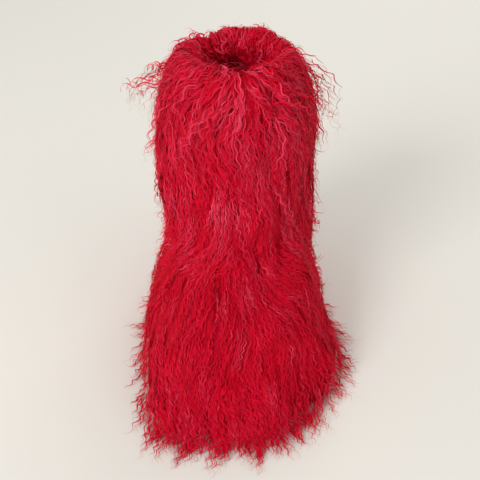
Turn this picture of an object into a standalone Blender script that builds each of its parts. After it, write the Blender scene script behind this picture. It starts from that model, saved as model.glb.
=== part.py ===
"""A mid-calf boot in long curly wool, for the wearer's left foot, built as six solids.

The frame is in metres with +Z up. The origin lies on the floor under the axis of the shaft.
The toe points to -Y, and the outer side of the foot is at +X.
"""

import math
import random
from typing import NamedTuple

import bmesh
import bpy
from mathutils import Vector

# Sole
SOLE_LENGTH = 0.265
HEEL_TO_AXIS = 0.078
BALL_WIDTH = 0.098
HEEL_WIDTH = 0.074
HEEL_THICKNESS = 0.028
BALL_THICKNESS = 0.018
TOE_SPRING = 0.009
ARCH_RISE = 0.006
HEEL_BLOCK = 0.098
TREAD_END = 0.078
TOE_SWING = 0.008
WAIST_HOLLOW = 0.011
SOLE_BEVEL = 0.002
RIB_DEPTH = 0.0012
GROOVE_WIDTH = 0.0035
GROOVE_DEPTH = 0.003
GROOVE_PITCH = 0.017

# Upper
COLLAR_HEIGHT = 0.300
SHAFT_WIDTH = 0.118
SHAFT_DEPTH = 0.130
UPPER_WALL = 0.003
SOLE_LEDGE = 0.003
INSOLE_THICKNESS = 0.005

# Wool: how far its outer face lies from the hide or the sole's edge
PILE_SHAFT = 0.028
PILE_TOE = 0.056
PILE_HEEL = 0.042
PILE_BALL_SIDE = 0.062
PILE_HEEL_SIDE = 0.054
PILE_TOP = 0.034
HEM_HEIGHT = 0.004
ANKLE_SEAM = 0.1236
ROLL_DEPTH = 0.0635
LOCK_WIDTH = 0.018
LOCK_DEPTH = 0.0095
LOCK_LIFT = 0.008
LOCK_ROOT = 0.005
LOCK_SWAY = 0.010
LOCK_WAVE = 0.004
HEM_SPLAY = 0.016

# Clearances
GAP = 0.0003
SEAM_GAP = 0.0008
SEAT_GAP = 0.0006

# How finely the round forms are divided: one count, so that neighbours' chords match
RING_POINTS = 36

SOLE_BACK = HEEL_TO_AXIS
SOLE_FRONT = HEEL_TO_AXIS - SOLE_LENGTH
COAT_HEIGHT = COLLAR_HEIGHT + PILE_TOP
COLLAR_SEAM = COAT_HEIGHT - ROLL_DEPTH


class Plan(NamedTuple):
    """One horizontal ring of a boot form, seen from above."""

    back: float
    front: float
    rear_half: float
    fore_half: float
    rear_square: float
    fore_square: float
    swing: float
    waist: float


class UpperRow(NamedTuple):
    """A row of the upper: height as a share of the shaft, and how much foot is left in it."""

    rise: float
    leg: float
    reach: float
    girth: float


class CoatRow(NamedTuple):
    """A row of the wool: height as a share of the coat, and how much foot is left in it."""

    rise: float
    reach: float
    spread: float
    crown: float


class LockRow(NamedTuple):
    """A row of locks: where roots and tips lie as shares of the coat's height, and how many."""

    root: float
    tip: float
    count: int
    width: float
    splay: float


class LockSection(NamedTuple):
    """A section of one lock: place along it, and width and lift as shares of the lock's own."""

    share: float
    width: float
    lift: float


# leg: 0 follows the foot's plan and the sole's slope, 1 is the oval of the shaft.
# reach: share of the toe's reach in front of the shaft. girth: share of the ball's width.
UPPER_ROWS = [
    UpperRow(rise=0.000, leg=0.00, reach=1.000, girth=0.97),
    UpperRow(rise=0.026, leg=0.00, reach=1.015, girth=1.02),
    UpperRow(rise=0.070, leg=0.02, reach=0.995, girth=1.03),
    UpperRow(rise=0.115, leg=0.05, reach=0.930, girth=0.98),
    UpperRow(rise=0.150, leg=0.10, reach=0.820, girth=0.91),
    UpperRow(rise=0.175, leg=0.16, reach=0.690, girth=0.84),
    UpperRow(rise=0.200, leg=0.24, reach=0.545, girth=0.79),
    UpperRow(rise=0.235, leg=0.36, reach=0.395, girth=0.78),
    UpperRow(rise=0.280, leg=0.50, reach=0.250, girth=0.82),
    UpperRow(rise=0.335, leg=0.66, reach=0.125, girth=0.90),
    UpperRow(rise=0.410, leg=0.82, reach=0.040, girth=0.97),
    UpperRow(rise=0.520, leg=0.94, reach=0.000, girth=1.00),
    UpperRow(rise=0.760, leg=1.00, reach=0.000, girth=1.00),
    UpperRow(rise=1.000, leg=1.00, reach=0.000, girth=1.00),
]

# reach and spread: share of the toe's reach and of the foot's width. crown: share of the shaft's girth.
COAT_ROWS = [
    CoatRow(rise=0.012, reach=1.000, spread=1.00, crown=1.00),
    CoatRow(rise=0.060, reach=0.960, spread=0.94, crown=1.00),
    CoatRow(rise=0.136, reach=0.800, spread=0.74, crown=1.00),
    CoatRow(rise=0.225, reach=0.565, spread=0.47, crown=1.00),
    CoatRow(rise=0.300, reach=0.350, spread=0.25, crown=1.00),
    CoatRow(rise=0.370, reach=0.170, spread=0.10, crown=1.00),
    CoatRow(rise=0.440, reach=0.060, spread=0.03, crown=1.00),
    CoatRow(rise=0.530, reach=0.000, spread=0.00, crown=1.00),
    CoatRow(rise=0.660, reach=0.000, spread=0.00, crown=0.99),
    CoatRow(rise=0.770, reach=0.000, spread=0.00, crown=0.96),
    CoatRow(rise=0.850, reach=0.000, spread=0.00, crown=0.91),
    CoatRow(rise=0.915, reach=0.000, spread=0.00, crown=0.84),
    CoatRow(rise=0.965, reach=0.000, spread=0.00, crown=0.76),
    CoatRow(rise=1.000, reach=0.000, spread=0.00, crown=0.66),
]

LOCK_SECTIONS = [
    LockSection(share=0.00, width=0.62, lift=0.00),
    LockSection(share=0.34, width=1.00, lift=0.45),
    LockSection(share=0.74, width=0.72, lift=1.00),
    LockSection(share=1.00, width=0.00, lift=0.75),
]
FOOT_LOCKS = [
    LockRow(root=0.350, tip=0.205, count=12, width=1.00, splay=0.0),
    LockRow(root=0.255, tip=0.110, count=14, width=1.05, splay=0.0),
    LockRow(root=0.170, tip=0.045, count=15, width=1.05, splay=0.2),
    LockRow(root=0.085, tip=0.012, count=19, width=1.00, splay=1.0),
]
SHAFT_LOCKS = [
    LockRow(root=0.800, tip=0.640, count=11, width=1.10, splay=0.0),
    LockRow(root=0.695, tip=0.540, count=11, width=1.10, splay=0.0),
    LockRow(root=0.595, tip=0.450, count=11, width=1.10, splay=0.0),
    LockRow(root=0.500, tip=0.372, count=11, width=1.10, splay=0.0),
]
COLLAR_LOCKS = [
    LockRow(root=0.990, tip=0.880, count=10, width=1.00, splay=0.0),
    LockRow(root=0.925, tip=0.815, count=11, width=1.00, splay=0.0),
]


def lerp(first, second, share):
    return first + (second - first) * share


def smooth(value, start, end):
    """0 before start, 1 after end, and an S-shaped ramp between them."""
    share = min(1.0, max(0.0, (value - start) / (end - start)))
    return share * share * (3 - 2 * share)


def plan_point(plan, turn):
    """A point of the ring at an angle that starts at the heel and goes round by the outer side."""
    along = (1 - math.cos(turn)) / 2
    square = lerp(plan.rear_square, plan.fore_square, smooth(along, 0.3, 0.7))
    blunt = max(0.0, 1 - abs(math.cos(turn)) ** square) ** (1 / square)
    half = lerp(plan.rear_half, plan.fore_half, smooth(along, 0.15, 0.62))
    side = 1 if math.sin(turn) >= 0 else -1
    hollow = plan.waist * math.exp(-(((along - 0.40) / 0.14) ** 2))
    inner_share = 1.0 if side < 0 else 0.35
    x = side * blunt * (half - hollow * inner_share)
    x -= plan.swing * smooth(along, 0.45, 1.0)
    return x, lerp(plan.back, plan.front, along)


def turns(count):
    return [math.tau * index / count for index in range(count)]


def foot_share(y):
    """How far along the sole a place is: 0 at the back of the heel, 1 at the toe."""
    return (SOLE_BACK - y) / SOLE_LENGTH


def sole_top(y):
    """Height of the sole's upper face."""
    share = foot_share(y)
    level = lerp(HEEL_THICKNESS, BALL_THICKNESS, smooth(share, 0.25, 0.62))
    return level + TOE_SPRING * smooth(share, 0.72, 1.05)


def sole_bottom(y):
    """Height of the tread: flat under heel and ball, raised at the arch and at the toe."""
    behind_toe = y - SOLE_FRONT
    behind_heel = SOLE_BACK - y
    arch = smooth(behind_heel, HEEL_BLOCK, HEEL_BLOCK + 2 * ARCH_RISE)
    arch *= 1 - smooth(behind_heel, HEEL_BLOCK + 4 * ARCH_RISE, HEEL_BLOCK + 7 * ARCH_RISE)
    spring = 1 - smooth(behind_toe, 0.0, TREAD_END * 0.6)
    return ARCH_RISE * arch + TOE_SPRING * spring


def sole_plan(grow=0.0):
    return Plan(
        back=SOLE_BACK + grow,
        front=SOLE_FRONT - grow,
        rear_half=HEEL_WIDTH / 2 + grow,
        fore_half=BALL_WIDTH / 2 + grow,
        rear_square=2.3,
        fore_square=2.5,
        swing=TOE_SWING,
        waist=WAIST_HOLLOW,
    )


def upper_ring(row):
    """The outer face of the upper at one row, as a ring of points."""
    foot = sole_plan(-SOLE_LEDGE)
    plan = Plan(
        back=lerp(foot.back, SHAFT_DEPTH / 2, row.leg),
        front=lerp(-SHAFT_DEPTH / 2, foot.front, row.reach),
        rear_half=lerp(foot.rear_half, SHAFT_WIDTH / 2, row.leg),
        fore_half=lerp(foot.fore_half, SHAFT_WIDTH / 2, row.leg) * row.girth,
        rear_square=lerp(foot.rear_square, 2.0, row.leg),
        fore_square=lerp(foot.fore_square, 2.0, row.leg),
        swing=foot.swing * min(1.0, row.reach),
        waist=foot.waist * max(0.0, 1 - 2.5 * row.leg),
    )
    ring = []
    for turn in turns(RING_POINTS):
        x, y = plan_point(plan, turn)
        seat = lerp(sole_top(y), HEEL_THICKNESS, row.leg) + GAP
        ring.append(Vector((x, y, seat + row.rise * (COLLAR_HEIGHT - HEEL_THICKNESS - GAP))))
    return ring


def coat_row(rise):
    """The coat's columns at any height, read between the rows of its table."""
    if rise <= COAT_ROWS[0].rise:
        return COAT_ROWS[0]._replace(rise=rise)
    for low, high in zip(COAT_ROWS, COAT_ROWS[1:]):
        if rise <= high.rise:
            share = (rise - low.rise) / (high.rise - low.rise)
            return CoatRow(*(lerp(a, b, share) for a, b in zip(low, high)))
    return COAT_ROWS[-1]


def coat_plan(row):
    shaft_half = (SHAFT_WIDTH / 2 + PILE_SHAFT) * row.crown
    shaft_reach = (SHAFT_DEPTH / 2 + PILE_SHAFT) * row.crown
    return Plan(
        back=lerp(shaft_reach, SOLE_BACK + PILE_HEEL, row.spread),
        front=lerp(-shaft_reach, SOLE_FRONT - PILE_TOE, row.reach),
        rear_half=lerp(shaft_half, HEEL_WIDTH / 2 + PILE_HEEL_SIDE, row.spread),
        fore_half=lerp(shaft_half, BALL_WIDTH / 2 + PILE_BALL_SIDE, row.spread),
        rear_square=lerp(2.0, 2.4, row.spread),
        fore_square=lerp(2.0, 3.6, row.spread),
        swing=0.0,
        waist=0.0,
    )


def coat_point(turn, rise):
    x, y = plan_point(coat_plan(coat_row(rise)), turn)
    return Vector((x, y, max(HEM_HEIGHT, rise * COAT_HEIGHT)))


def coat_outward(turn, rise):
    """The direction that leaves the wool's outer face at a place on it."""
    step = 0.02
    around = coat_point(turn + step, rise) - coat_point(turn - step, rise)
    upward = coat_point(turn, min(1.0, rise + step)) - coat_point(turn, max(0.0, rise - step))
    return upward.cross(around).normalized()


def skin(bm, rings, close_bottom, close_top):
    """Joins rings of points by quads, and closes an end by quads across the ring."""
    grid = [[bm.verts.new(point) for point in ring] for ring in rings]
    count = len(rings[0])
    for low, high in zip(grid, grid[1:]):
        for index in range(count):
            after = (index + 1) % count
            bm.faces.new((low[index], low[after], high[after], high[index]))
    for ring, closes in ((grid[0], close_bottom), (grid[-1], close_top)):
        if closes:
            close_ring(bm, ring)
    bmesh.ops.recalc_face_normals(bm, faces=bm.faces)
    bmesh.ops.triangulate(bm, faces=bm.faces, quad_method="FIXED")


def close_ring(bm, ring):
    """Fills a ring from side to side, so that the fill follows the ring's heights."""
    count = len(ring)
    for index in range(count // 2):
        corners = [ring[-index % count], ring[index], ring[index + 1], ring[-index - 1]]
        bm.faces.new(list(dict.fromkeys(corners)))


def add_object(name, bm, material=None):
    mesh = bpy.data.meshes.new(name)
    bm.to_mesh(mesh)
    bm.free()
    made = bpy.data.objects.new(name, mesh)
    bpy.context.scene.collection.objects.link(made)
    if material:
        mesh.materials.append(material)
        mesh.shade_smooth()
        mesh.set_sharp_from_angle(angle=math.radians(40))
    return made


def add_helper(name, bm):
    """A cutter or a shape that is fused on: the build leaves it out."""
    made = add_object(name, bm)
    made.hide_render = True
    made.display_type = "WIRE"
    return made


def add_loft(name, rings, material=None, grow=0.0):
    """A closed form through the rings. Grown, it stands that far off the same form everywhere."""
    bm = bmesh.new()
    skin(bm, rings, close_bottom=True, close_top=True)
    bm.normal_update()
    for vert in bm.verts:
        vert.co += vert.normal * grow
    return add_object(name, bm, material) if material else add_helper(name, bm)


def combine(target, other, operation, crosses_itself=False):
    modifier = target.modifiers.new(operation.title(), "BOOLEAN")
    modifier.operation = operation
    modifier.object = other
    modifier.use_self = crosses_itself


def add_material(name, colour, roughness):
    material = bpy.data.materials.new(name)
    material.use_nodes = True
    shader = material.node_tree.nodes["Principled BSDF"]
    shader.inputs["Base Color"].default_value = (*colour, 1.0)
    shader.inputs["Roughness"].default_value = roughness
    return material


def flat_ring(plan, height):
    return [Vector((*plan_point(plan, turn), height)) for turn in turns(RING_POINTS)]


def ring_on_sole(plan, lift):
    """A ring that lies on the sole's upper face, raised by the lift."""
    places = [plan_point(plan, turn) for turn in turns(RING_POINTS)]
    return [Vector((x, y, sole_top(y) + lift)) for x, y in places]


def sole_ring(inset, share):
    """A ring of the sole's edge: share 0 is the tread and 1 the upper face."""
    ring = []
    for turn in turns(RING_POINTS):
        x, y = plan_point(sole_plan(-inset), turn)
        ring.append(Vector((x, y, lerp(sole_bottom(y), sole_top(y), share))))
    return ring


def groove_places():
    """Middles of the tread grooves: half a pitch off the origin, under heel and ball."""
    heel_front = SOLE_BACK - HEEL_BLOCK
    ball_back = heel_front - 6 * ARCH_RISE
    toe_end = SOLE_FRONT + GROOVE_PITCH
    count = int(SOLE_LENGTH / GROOVE_PITCH)
    places = [(index - count + 0.5) * GROOVE_PITCH for index in range(2 * count)]
    under_heel = [y for y in places if heel_front < y < SOLE_BACK - GROOVE_PITCH / 2]
    under_ball = [y for y in places if toe_end < y < ball_back]
    return under_heel + under_ball


def add_groove(bm, y):
    """A shallow V across the tread, open at both edges of the sole."""
    half = GROOVE_WIDTH / 2
    side = BALL_WIDTH
    bend = GROOVE_PITCH * 0.35
    top = sole_bottom(y) + GROOVE_DEPTH
    outline = [(-side, y + bend), (0.0, y), (side, y + bend)]
    rows = []
    for x, middle in outline:
        corners = [(-half, -BALL_THICKNESS), (half, -BALL_THICKNESS), (half, top), (-half, top)]
        rows.append([bm.verts.new((x, middle + across, height)) for across, height in corners])
    for first, second in zip(rows, rows[1:]):
        for index in range(4):
            after = (index + 1) % 4
            bm.faces.new((first[index], first[after], second[after], second[index]))
    bm.faces.new(rows[0][::-1])
    bm.faces.new(rows[-1])


def build_outsole(material):
    edge = [
        (SOLE_BEVEL, 0.0),
        (0.0, 0.12),
        (0.0, 0.34),
        (RIB_DEPTH, 0.38),
        (RIB_DEPTH, 0.44),
        (0.0, 0.48),
        (0.0, 0.60),
        (RIB_DEPTH, 0.64),
        (RIB_DEPTH, 0.70),
        (0.0, 0.74),
        (0.0, 0.94),
        (SOLE_BEVEL / 2, 1.0),
    ]
    outsole = add_loft("outsole", [sole_ring(inset, share) for inset, share in edge], material)
    bm = bmesh.new()
    for y in groove_places():
        add_groove(bm, y)
    bmesh.ops.recalc_face_normals(bm, faces=bm.faces)
    combine(outsole, add_helper("tread_grooves", bm), "DIFFERENCE")


def build_insole(material):
    """The footbed follows the sole's upper face inside the wall of the upper."""
    plan = sole_plan(-SOLE_LEDGE - UPPER_WALL - 4 * GAP - 0.03 * BALL_WIDTH / 2)
    rings = [ring_on_sole(plan, lift) for lift in (SEAT_GAP, SEAT_GAP + INSOLE_THICKNESS)]
    add_loft("insole", rings, material)


def build_upper(material):
    """One hollow shell, open at the collar and along the feather line."""
    bm = bmesh.new()
    skin(bm, [upper_ring(row) for row in UPPER_ROWS], close_bottom=False, close_top=False)
    upper = add_object("upper", bm, material)
    wall = upper.modifiers.new("Wall", "SOLIDIFY")
    wall.thickness = UPPER_WALL
    wall.offset = -1.0
    wall.use_even_offset = True


def add_boot_cutter():
    """The upper and the sole's edge with the clearance around them, as one closed form."""
    rings = [flat_ring(sole_plan(GAP), -PILE_TOP)]
    rings.append(ring_on_sole(sole_plan(GAP), GAP))
    rings += [upper_ring(row) for row in UPPER_ROWS]
    return add_loft("boot_cutter", rings, grow=GAP)


def add_bore_cutter():
    """The way in through the collar, as wide as the inside of the upper."""
    inside = Plan(
        back=SHAFT_DEPTH / 2 - UPPER_WALL,
        front=UPPER_WALL - SHAFT_DEPTH / 2,
        rear_half=SHAFT_WIDTH / 2 - UPPER_WALL,
        fore_half=SHAFT_WIDTH / 2 - UPPER_WALL,
        rear_square=2.0,
        fore_square=2.0,
        swing=0.0,
        waist=0.0,
    )
    low = flat_ring(inside, COLLAR_HEIGHT - PILE_TOP / 2)
    high = flat_ring(inside, COAT_HEIGHT + PILE_TOP)
    return add_loft("bore_cutter", [low, high])


def add_slab(name, low, high):
    """A wide block between two heights, which trims locks that cross a seam."""
    bm = bmesh.new()
    bmesh.ops.create_cube(bm, size=1.0)
    side = 3 * SOLE_LENGTH
    bmesh.ops.scale(bm, verts=bm.verts, vec=(side, side, high - low))
    bmesh.ops.translate(bm, verts=bm.verts, vec=(0, 0, (high + low) / 2))
    return add_helper(name, bm)


def coat_around(turn, rise):
    """The direction that runs round the wool's outer face at a place on it."""
    step = 0.05
    return (coat_point(turn + step, rise) - coat_point(turn - step, rise)).normalized()


def add_lock(bm, turn, row, chance):
    """One lock of wool: a flattened, tapering horn that starts inside the coat and hangs down."""
    sway = chance.uniform(-1.0, 1.0) * LOCK_SWAY
    phase = chance.uniform(0, math.tau)
    size = chance.uniform(0.88, 1.14) * row.width / 2
    rings = []
    for share, width, lift in LOCK_SECTIONS:
        rise = lerp(row.root, row.tip, share)
        out = coat_outward(turn, rise)
        around = coat_around(turn, rise)
        middle = coat_point(turn, rise) + out * (lift * LOCK_LIFT - (0.0 if share else LOCK_ROOT))
        middle += around * (sway * share + LOCK_WAVE * math.sin(phase + 5.0 * share))
        middle += Vector((out.x, out.y, 0.0)) * row.splay * HEM_SPLAY * share**2
        middle.z = max(middle.z, HEM_HEIGHT * (1.0 + width))
        if not width:
            rings.append([bm.verts.new(middle)])
            continue
        side = around * size * width * LOCK_WIDTH
        thick = out * size * width * LOCK_DEPTH
        corners = (middle + side, middle + thick, middle - side, middle - thick)
        rings.append([bm.verts.new(corner) for corner in corners])
    for low, high in zip(rings, rings[1:]):
        for index in range(4):
            after = (index + 1) % 4
            corners = [low[index], low[after], high[after % len(high)], high[index % len(high)]]
            bm.faces.new(list(dict.fromkeys(corners)))
    bm.faces.new(rings[0][::-1])


def even_turns(rise, count, offset):
    """Turns that lie equally far apart along the coat's ring at one height."""
    ring = [coat_point(turn, rise) for turn in turns(RING_POINTS)]
    steps = [(after - point).length for point, after in zip(ring, ring[1:] + ring[:1])]
    spacing = sum(steps) / count
    wanted = offset * spacing
    found = []
    travelled = 0.0
    for turn, step in zip(turns(RING_POINTS), steps):
        while len(found) < count and wanted <= travelled + step:
            share = (wanted - travelled) / step
            found.append(turn + share * math.tau / RING_POINTS)
            wanted += spacing
        travelled += step
    return found


def add_locks(name, rows, chance):
    bm = bmesh.new()
    for number, row in enumerate(rows):
        for turn in even_turns(row.tip, row.count, 0.25 + (number % 2) / 2):
            add_lock(bm, turn + chance.uniform(-0.04, 0.04), row, chance)
    bmesh.ops.recalc_face_normals(bm, faces=bm.faces)
    return add_helper(name, bm)


def build_coat(name, low, high, lock_rows, cutters, material, chance):
    """A stretch of the wool between two heights, with its locks fused on and its inside cut out."""
    rises = [low] + [row.rise for row in COAT_ROWS if low < row.rise < high] + [high]
    rings = [[coat_point(turn, rise) for turn in turns(RING_POINTS)] for rise in rises]
    coat = add_loft(name, rings, material)
    combine(coat, add_locks(name + "_locks", lock_rows, chance), "UNION", crosses_itself=True)
    for cutter in cutters:
        combine(coat, cutter, "DIFFERENCE")


def build_wool(material):
    chance = random.Random(11)
    boot = add_boot_cutter()
    top = COAT_HEIGHT + PILE_TOP
    half_seam = SEAM_GAP / 2
    above_ankle = add_slab("above_ankle", ANKLE_SEAM - half_seam, top)
    below_ankle = add_slab("below_ankle", -PILE_TOP, ANKLE_SEAM + half_seam)
    above_collar = add_slab("above_collar", COLLAR_SEAM - half_seam, top + PILE_TOP)
    below_collar = add_slab("below_collar", -PILE_TOP, COLLAR_SEAM + half_seam)
    hem = COAT_ROWS[0].rise
    ankle = ANKLE_SEAM / COAT_HEIGHT
    collar = COLLAR_SEAM / COAT_HEIGHT
    build_coat("fur_foot", hem, ankle, FOOT_LOCKS, [boot, above_ankle], material, chance)
    trims = [boot, below_ankle, above_collar]
    build_coat("fur_shaft", ankle, collar, SHAFT_LOCKS, trims, material, chance)
    trims = [boot, below_collar, add_bore_cutter()]
    build_coat("fur_collar", collar, 1.0, COLLAR_LOCKS, trims, material, chance)


def main():
    for old in list(bpy.data.objects):
        bpy.data.objects.remove(old)
    rubber = add_material("black_rubber", (0.025, 0.024, 0.026), 0.6)
    hide = add_material("red_suede", (0.26, 0.012, 0.022), 0.85)
    footbed = add_material("footbed_plush", (0.20, 0.010, 0.018), 0.9)
    wool = add_material("red_wool", (0.58, 0.010, 0.030), 0.6)
    build_outsole(rubber)
    build_insole(footbed)
    build_upper(hide)
    build_wool(wool)


main()
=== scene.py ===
# %% [markdown]
# # A mid-calf boot in long curly wool
#
# The real boot is a thin hide upper on a moulded rubber sole. All over the upper sits a long
# sheepskin, whose wool grows in crimped locks and hides nearly everything else. So most of this
# lesson is about wool: where the locks start, how they run down the boot, how they wave, and how
# a lock becomes a handful of thin bands that catch the light.
#
# The solids of the boot come in first, as a frame that is never moved. Whatever is made later
# takes its size from them.

# %% Load the boot's solids
import math

import bmesh
import bpy
import numpy as np
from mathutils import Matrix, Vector
from mathutils.bvhtree import BVHTree


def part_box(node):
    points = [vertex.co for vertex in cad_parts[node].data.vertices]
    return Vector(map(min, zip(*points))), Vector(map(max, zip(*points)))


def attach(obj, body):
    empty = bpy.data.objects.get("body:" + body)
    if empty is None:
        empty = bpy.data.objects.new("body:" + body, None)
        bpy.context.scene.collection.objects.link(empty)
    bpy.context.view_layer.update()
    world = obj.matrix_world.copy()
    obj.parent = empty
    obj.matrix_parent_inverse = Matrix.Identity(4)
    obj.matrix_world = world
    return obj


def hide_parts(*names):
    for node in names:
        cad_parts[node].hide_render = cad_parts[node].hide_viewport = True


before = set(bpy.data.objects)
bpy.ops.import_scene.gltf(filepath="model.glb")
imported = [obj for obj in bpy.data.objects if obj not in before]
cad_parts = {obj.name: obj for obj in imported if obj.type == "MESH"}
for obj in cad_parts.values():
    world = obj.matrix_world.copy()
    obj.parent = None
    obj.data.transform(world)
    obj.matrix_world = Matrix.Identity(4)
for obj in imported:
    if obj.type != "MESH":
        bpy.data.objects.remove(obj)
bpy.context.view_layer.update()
sole_low, sole_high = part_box("outsole")
upper_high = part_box("upper")[1]
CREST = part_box("fur_collar")[1].z
print("solids:", sorted(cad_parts), "crest of the wool at", round(CREST, 3), "m")

# %% [markdown]
# ## The camera
#
# The boot is seen from in front of the toe and from above, by a camera that stands close: the
# collar looks large and the toe small. The viewpoint is kept where the outlines of the wool put
# it, and the camera turns until the one boot stands in the middle of the square picture.

# %% The camera
CAMERA_PLACE = Vector((-0.038, -0.656, 0.575))
CAMERA_AIM = Vector((0.001, -0.062, 0.1295))
LENS = 49.0
SENSOR = 36.0


def add_object(name, data):
    added = bpy.data.objects.new(name, data)
    bpy.context.scene.collection.objects.link(added)
    return added


camera_data = bpy.data.cameras.new("camera")
camera_data.lens = LENS
camera_data.sensor_width = SENSOR
camera = add_object("camera", camera_data)
camera.location = CAMERA_PLACE
camera.rotation_euler = (CAMERA_AIM - CAMERA_PLACE).to_track_quat("-Z", "Y").to_euler()
bpy.context.scene.camera = camera
print("camera stands", round((CAMERA_AIM - CAMERA_PLACE).length, 3), "m from its aim")

# %% [markdown]
# ## Floor and light
#
# A photographer would stand such a boot on a pale seamless sheet, with one large soft light on
# the left, high up, and let the white room fill the shadows. Area lights do the same here. The
# left one is the strongest, so the right side of the wool falls into a mild shade and a soft
# shadow lies to the right of the boot.

# %% The floor
FLOOR_HALF = 4.0
FLOOR_COLOUR = (0.78, 0.77, 0.72)
FLOOR_ROUGHNESS = 0.7


def set_inputs(node, values):
    for socket, value in values.items():
        node.inputs[socket].default_value = value


def add_plain_material(name, colour, roughness):
    """A material of one colour, which the next steps build on."""
    material = bpy.data.materials.new(name)
    material.use_nodes = True
    shader = material.node_tree.nodes["Principled BSDF"]
    set_inputs(shader, {"Base Color": (*colour, 1.0), "Roughness": roughness})
    return material, shader


floor_bm = bmesh.new()
bmesh.ops.create_grid(floor_bm, x_segments=1, y_segments=1, size=FLOOR_HALF)
floor_mesh = bpy.data.meshes.new("floor")
floor_bm.to_mesh(floor_mesh)
floor_bm.free()
floor = add_object("floor", floor_mesh)
floor_mesh.materials.append(add_plain_material("pale_sheet", FLOOR_COLOUR, FLOOR_ROUGHNESS)[0])
print("floor:", 2 * FLOOR_HALF, "m wide")

# %% The lights
LIGHT_AIM = Vector((0, -0.05, 0.15))
LIGHTS = [
    # name, place, size, watts, colour
    ("key_left", (-1.9, -1.9, 1.7), 1.5, 57.0, (1.0, 0.995, 0.99)),
    ("fill_right", (2.2, -1.8, 1.4), 2.0, 8.0, (1.0, 0.98, 0.96)),
    ("rim_back", (1.0, 2.5, 2.1), 2.4, 27.0, (1.0, 0.98, 0.96)),
]
ROOM_COLOUR = (1.0, 0.973, 0.94)
ROOM_BRIGHTNESS = 0.62

for name, place, size, watts, colour in LIGHTS:
    data = bpy.data.lights.new(name, "AREA")
    data.shape = "DISK"
    data.size = size
    data.energy = watts
    data.color = colour
    light = add_object(name, data)
    light.location = place
    light.rotation_euler = (LIGHT_AIM - light.location).to_track_quat("-Z", "Y").to_euler()

world = bpy.data.worlds.new("white_room")
bpy.context.scene.world = world
world.use_nodes = True
room = {"Color": (*ROOM_COLOUR, 1.0), "Strength": ROOM_BRIGHTNESS}
set_inputs(world.node_tree.nodes["Background"], room)
bpy.context.scene.view_settings.view_transform = "Standard"
print("lights:", [name for name, *_ in LIGHTS])

# %% [markdown]
# ## The wool's outer face as a map
#
# Every lock lies on the wool's outer face, so that face is worked out first. It is a stack of
# rings: from inside the collar, up over the rim, down the shaft, out over the foot, and on along
# the floor for the ends that spill there. A sculpted surface would give the same form, but a comb
# has to know at each point which way is down and which way is round, and rings say so. The points
# of a ring lie equally far apart, from the heel round by the outer side to the toe and back. That
# gives a map with two coordinates: which ring, and how far round.

# %% The table of rings
# half the width and depth of the hide's shaft, and half the sole's width at heel and ball
SHAFT_HALF = upper_high.x
SHAFT_REACH = 0.065
HEEL_HALF = 0.037
BALL_HALF = 0.049
# how far the wool stands past them
PILE_SHAFT = 0.026
PILE_TOE = 0.055
PILE_HEEL = 0.042
PILE_BALL_SIDE = 0.064
PILE_HEEL_SIDE = 0.054
# how square an oval is: 2 is an ellipse
ROUND = 2.0
SQUARE_HEEL = 2.4
SQUARE_TOE = 3.6
HIDE_WALL = 0.003
HEM_HEIGHT = 0.004
MAP_COLUMNS = 256
OVERSAMPLE = 2000

coat_rows = np.array(
    [
        # rise, reach to the toe, spread of the foot, girth of the shaft
        (0.012, 1.000, 1.00, 1.00),
        (0.060, 0.960, 0.94, 1.00),
        (0.136, 0.800, 0.74, 1.00),
        (0.225, 0.565, 0.47, 1.00),
        (0.300, 0.340, 0.22, 1.00),
        (0.370, 0.155, 0.06, 0.99),
        (0.440, 0.050, 0.00, 0.99),
        (0.530, 0.000, 0.00, 1.00),
        (0.660, 0.000, 0.00, 1.01),
        (0.770, 0.000, 0.00, 1.01),
        (0.850, 0.000, 0.00, 0.96),
        (0.915, 0.000, 0.00, 0.88),
        (0.965, 0.000, 0.00, 0.78),
        (1.000, 0.000, 0.00, 0.68),
    ],
    dtype=[("rise", float), ("reach", float), ("spread", float), ("girth", float)],
)
HEM_RISE = coat_rows["rise"][0]
print("wool across the shaft:", round(2 * (SHAFT_HALF + PILE_SHAFT), 3), "m")


# %% Ovals and rings
def lerp(first, second, share):
    return first + (second - first) * share


def smooth(value, start, end):
    """Goes from 0 to 1 between two values, gently at both ends."""
    share = np.clip((value - start) / (end - start), 0.0, 1.0)
    return share * share * (3 - 2 * share)


def half_oval(back, front, rear_half, fore_half, rear_square, fore_square):
    """The outer half of an oval from heel to toe, with its points equally far apart."""
    turn = np.linspace(0.0, math.pi, OVERSAMPLE)
    along = (1 - np.cos(turn)) / 2
    square = lerp(rear_square, fore_square, smooth(along, 0.3, 0.7))
    blunt = np.maximum(0.0, 1 - np.abs(np.cos(turn)) ** square) ** (1 / square)
    x = blunt * lerp(rear_half, fore_half, smooth(along, 0.15, 0.62))
    y = lerp(back, front, along)
    run = np.concatenate([[0.0], np.cumsum(np.hypot(np.diff(x), np.diff(y)))])
    wanted = np.linspace(0.0, run[-1], MAP_COLUMNS // 2 + 1)
    return np.interp(wanted, run, x), np.interp(wanted, run, y)


def shaft_oval(off_hide):
    """The shaft's own oval, that far outside the hide's outer face."""
    reach, half = SHAFT_REACH + off_hide, SHAFT_HALF + off_hide
    return half_oval(reach, -reach, half, half, ROUND, ROUND)


def full_ring(half, height):
    """Mirrors the outer half of an oval to a closed ring, at one height."""
    x, y = half
    ring_x = np.concatenate([x, -x[-2:0:-1]])
    ring_y = np.concatenate([y, y[-2:0:-1]])
    return np.stack([ring_x, ring_y, np.full(MAP_COLUMNS, height)], axis=1)


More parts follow.
